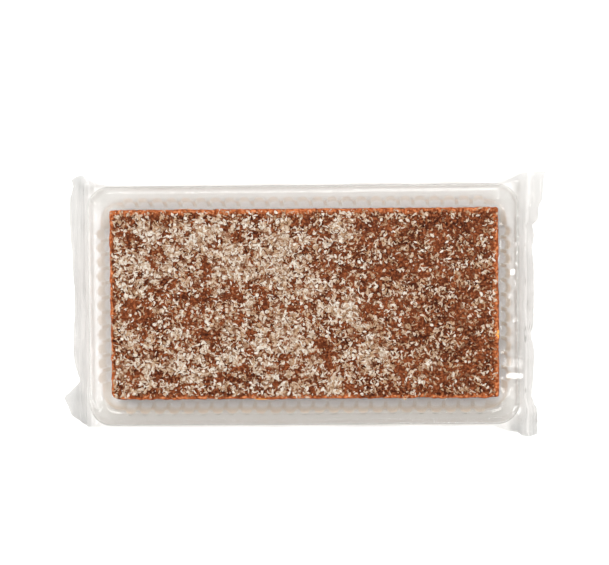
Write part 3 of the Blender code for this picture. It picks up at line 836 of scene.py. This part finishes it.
def film_section():
    """The film's closed section: share of the half width, height and side, with soft corners.

    Says too where in it the middle of the top is.
    """
    key = np.array(HALF_SECTION)
    up = np.minimum(key[:, 1], 1.0) * SECTION_SHOULDER
    up = up + np.maximum(key[:, 1] - 1.0, 0.0) * SECTION_CROWN
    run = np.hypot(np.diff(key[:, 0]) * SECTION_HALF, np.diff(up))
    run = np.concatenate([[0.0], np.cumsum(run)])
    sample = np.linspace(0.0, run[-1], SECTION_SAMPLES)
    share, height = np.interp(sample, run, key[:, 0]), np.interp(sample, run, key[:, 1])
    kernel = np.exp(-np.linspace(-2, 2, 2 * SECTION_BLUR + 1) ** 2)
    kernel /= kernel.sum()
    share = np.pad(share, SECTION_BLUR, mode="reflect", reflect_type="odd")
    share = np.convolve(share, kernel, "valid")
    height = np.convolve(np.pad(height, SECTION_BLUR, mode="edge"), kernel, "valid")
    shares = np.concatenate([share, share[-2:0:-1]])
    heights = np.concatenate([height, height[-2:0:-1]])
    sides = np.concatenate([np.ones(len(share)), -np.ones(len(share) - 2)])
    return shares, heights, sides, len(share) - 1


def outward_normals(points, top):
    """The directions straight out of the sleeve at each point. top is a column on its top side."""
    along = np.gradient(points, axis=0)
    around = np.roll(points, -1, axis=1) - np.roll(points, 1, axis=1)
    normal = np.cross(along, around)
    normal /= np.maximum(np.linalg.norm(normal, axis=2, keepdims=True), 1e-12)
    return -normal if normal[len(points) // 2, top, 2] < 0 else normal


def film_tint_and_painted_shade(points, x, share):
    """How grey the film is: gathered at its ends, loose in its ears and bent over its long edges; the
    film's own grey, with painted shade set for each end, side and edge.
    """
    y, z = points[..., 1], points[..., 2]
    left = 0.46 * smooth(-x, 100.5 * MM, 104.5 * MM) + 0.20 * smooth(-x, 103.5 * MM, 107.0 * MM)
    gathered_and_painted_shade = np.where(x > 0, 0.54 * smooth(x, 99.0 * MM, 105.0 * MM), left)
    loose = smooth(abs(x), 95.0 * MM, 102.0 * MM)
    # Painted shade: more grey near the long edges of the loose ends and in the left ear.
    painted_shade_top = np.where(x > 0, 0.08, 0.20) * smooth(y, 46.0 * MM, 61.0 * MM)
    painted_shade_low = 0.27 * smooth(-y, 50.0 * MM, 60.0 * MM)
    painted_shade_left_ear = smooth(-x, 104.0 * MM, 107.0 * MM) * smooth(-y, 38.0 * MM, 44.0 * MM)
    gathered_and_painted_shade = gathered_and_painted_shade + loose * (painted_shade_top + painted_shade_low + 0.12 * painted_shade_left_ear)
    # Painted shade along the outer edges of the loose ends, stronger at -Y.
    outer = np.where(y > 0, 0.68, 0.85)
    gathered_and_painted_shade = np.maximum(gathered_and_painted_shade, outer * loose * smooth(abs(y), 53.0 * MM, 60.5 * MM))
    # Painted highlights: narrow lines across the ends where the grey is taken away.
    for place, wide, highlight_share in PAINTED_HIGHLIGHT_LINES:
        gathered_and_painted_shade = gathered_and_painted_shade * (1.0 - highlight_share * np.exp(-((x - place) / wide) ** 2))
    streaks = 0.6 * field(points[..., 0], 0.06 * y, 0.8 * MM, 71)
    streaks = streaks + 0.4 * field(points[..., 0] + 0.2 * y, 0.3 * y, 2.2 * MM, 72)
    gathered_and_painted_shade = gathered_and_painted_shade * (1.0 + 0.25 * streaks)
    # Greyer where bent over the long edges, more at +Y: the bent film's grey with painted shade.
    bent = np.maximum(smooth(z, 16.0 * MM, 20.0 * MM), 1.0 - smooth(z, 2.0 * MM, 5.0 * MM))
    far_bend_painted_shade = 0.75 * bent * smooth(abs(share), 0.965, 0.98)
    near_bend_painted_shade = 0.22 * smooth(abs(share), 0.945, 0.975)
    return np.maximum(gathered_and_painted_shade, np.where(y > 0, far_bend_painted_shade, near_bend_painted_shade))


def build_film(surface):
    """One thin sleeve of film round everything, pleated and pinched into fins at both ends."""
    xs = film_stations()
    shares, heights, sides, top = film_section()
    x, share = np.meshgrid(xs, shares, indexing="ij")
    height = np.broadcast_to(heights, x.shape)
    side = np.broadcast_to(sides, x.shape)
    points = film_base(x, share, height, side)
    points = press_facets(points + outward_normals(points, top) * crinkle(points)[..., None])
    flat = (abs(points[..., 0]) < FLAT_END) & (points[..., 2] < FLAT_BELOW)
    pressed = np.clip(points[..., 2], FILM_MARGIN, FLAT_HEIGHT)
    points[..., 2] = np.where(flat, pressed, points[..., 2])
    low, high = (np.array(corner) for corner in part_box("film"))
    points = np.clip(points, low + FILM_MARGIN, high - FILM_MARGIN)
    number = np.arange(x.size).reshape(x.shape)
    rows = [ring_quads(number[i], number[i + 1]) for i in range(len(xs) - 1)]
    return add_mesh("film_sleeve", points.reshape(-1, 3), np.concatenate(rows), surface,
                    [("tint_and_painted_light", film_tint_and_painted_shade(points, x, share).ravel())])


# ---- studio ----


def build_stage():
    """A plain pale floor just under the pack."""
    size, depth = 1.6, -0.2 * MM
    surface, nodes, _ = new_material("studio_floor")
    nodes["Principled BSDF"].inputs["Base Color"].default_value = (0.93, 0.93, 0.93, 1.0)
    nodes["Principled BSDF"].inputs["Roughness"].default_value = 0.9
    nodes["Principled BSDF"].inputs["Specular IOR Level"].default_value = 0.1
    corners = np.array([(-size, -size, depth), (size, -size, depth),
                        (size, size, depth), (-size, size, depth)])
    floor = add_mesh("floor", corners, np.array([[0, 1, 2, 3]]), surface)


def build_light(name, place, size, power):
    """A round soft lamp that points at the middle of the pack's base."""
    lamp = bpy.data.lights.new(name, "AREA")
    lamp.shape, lamp.size, lamp.energy = "DISK", size, power
    made = bpy.data.objects.new(name, lamp)
    made.location = place
    made.rotation_euler = (-Vector(place)).to_track_quat("-Z", "Y").to_euler()
    bpy.context.scene.collection.objects.link(made)


def build_studio():
    """A bright world, darker straight above and low down, and the lamps."""
    scene = bpy.context.scene
    world = bpy.data.worlds.new("studio")
    scene.world = world
    world.use_nodes = True
    nodes, links = world.node_tree.nodes, world.node_tree.links
    place = nodes.new("ShaderNodeTexCoord")
    split = nodes.new("ShaderNodeSeparateXYZ")
    links.new(place.outputs["Generated"], split.inputs["Vector"])
    walls = ramp_node(nodes, links, split.outputs["Z"], (
        (0.0, (0.35, 0.35, 0.35)), (0.2, (0.9, 0.9, 0.9)), (0.45, (1.0, 1.0, 1.0)),
        (0.86, (1.0, 1.0, 1.0)), (0.95, (0.12, 0.12, 0.12))))
    links.new(walls, nodes["Background"].inputs["Color"])
    nodes["Background"].inputs["Strength"].default_value = 0.94
    for name, (place, size, power) in LAMPS.items():
        build_light(name, place, size, power)
    scene.view_settings.view_transform = "Standard"


def camera_place():
    """Where the camera is, nearly straight above, and the directions back, right and up from it."""
    back = Vector((math.tan(CAMERA_LEAN), math.tan(CAMERA_LEAN), 1.0)).normalized()
    right = Vector((math.cos(CAMERA_ROLL), -math.sin(CAMERA_ROLL), 0.0))
    right = (right - back * right.dot(back)).normalized()
    return Vector(CAMERA_TARGET) + back * CAMERA_DISTANCE, right, back.cross(right), back


def build_camera():
    """The camera, with a lens that gives the picture its scale at the tray's rim."""
    camera = bpy.data.cameras.new("camera")
    camera.sensor_width = SENSOR_WIDTH
    camera.lens = SENSOR_WIDTH * CAMERA_DISTANCE / (PICTURE_WIDTH * PIXEL)
    made = bpy.data.objects.new("camera", camera)
    bpy.context.scene.collection.objects.link(made)
    place, right, up, back = camera_place()
    turn = Matrix((right, up, back)).transposed()
    made.matrix_world = Matrix.Translation(place) @ turn.to_4x4()
    bpy.context.scene.camera = made


def main():
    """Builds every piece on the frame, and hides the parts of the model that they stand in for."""
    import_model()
    cake_look, coconut_look, lolly_look = cake_material(), coconut_material(), lolly_material()
    tray_look, film_look = tray_material(), film_material()
    cake, under = build_cake(cake_look)
    coconut = [build_shreds(name, coconut_look) for name in COCONUT]
    for piece in (cake, under, *coconut):
        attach(piece, "root")
        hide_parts("cake")
    for seed, name in enumerate(("lolly_right", "lolly_corner", "lolly_front", "lolly_back")):
        piece = build_lolly(name, lolly_look, 80 + seed)
        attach(piece, "root")
        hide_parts(name)
    for piece in build_tray(tray_look):
        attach(piece, "root")
        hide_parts("tray")
    film = build_film(film_look)
    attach(film, "root")
    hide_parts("film")
    build_stage()
    build_studio()
    build_camera()


main()
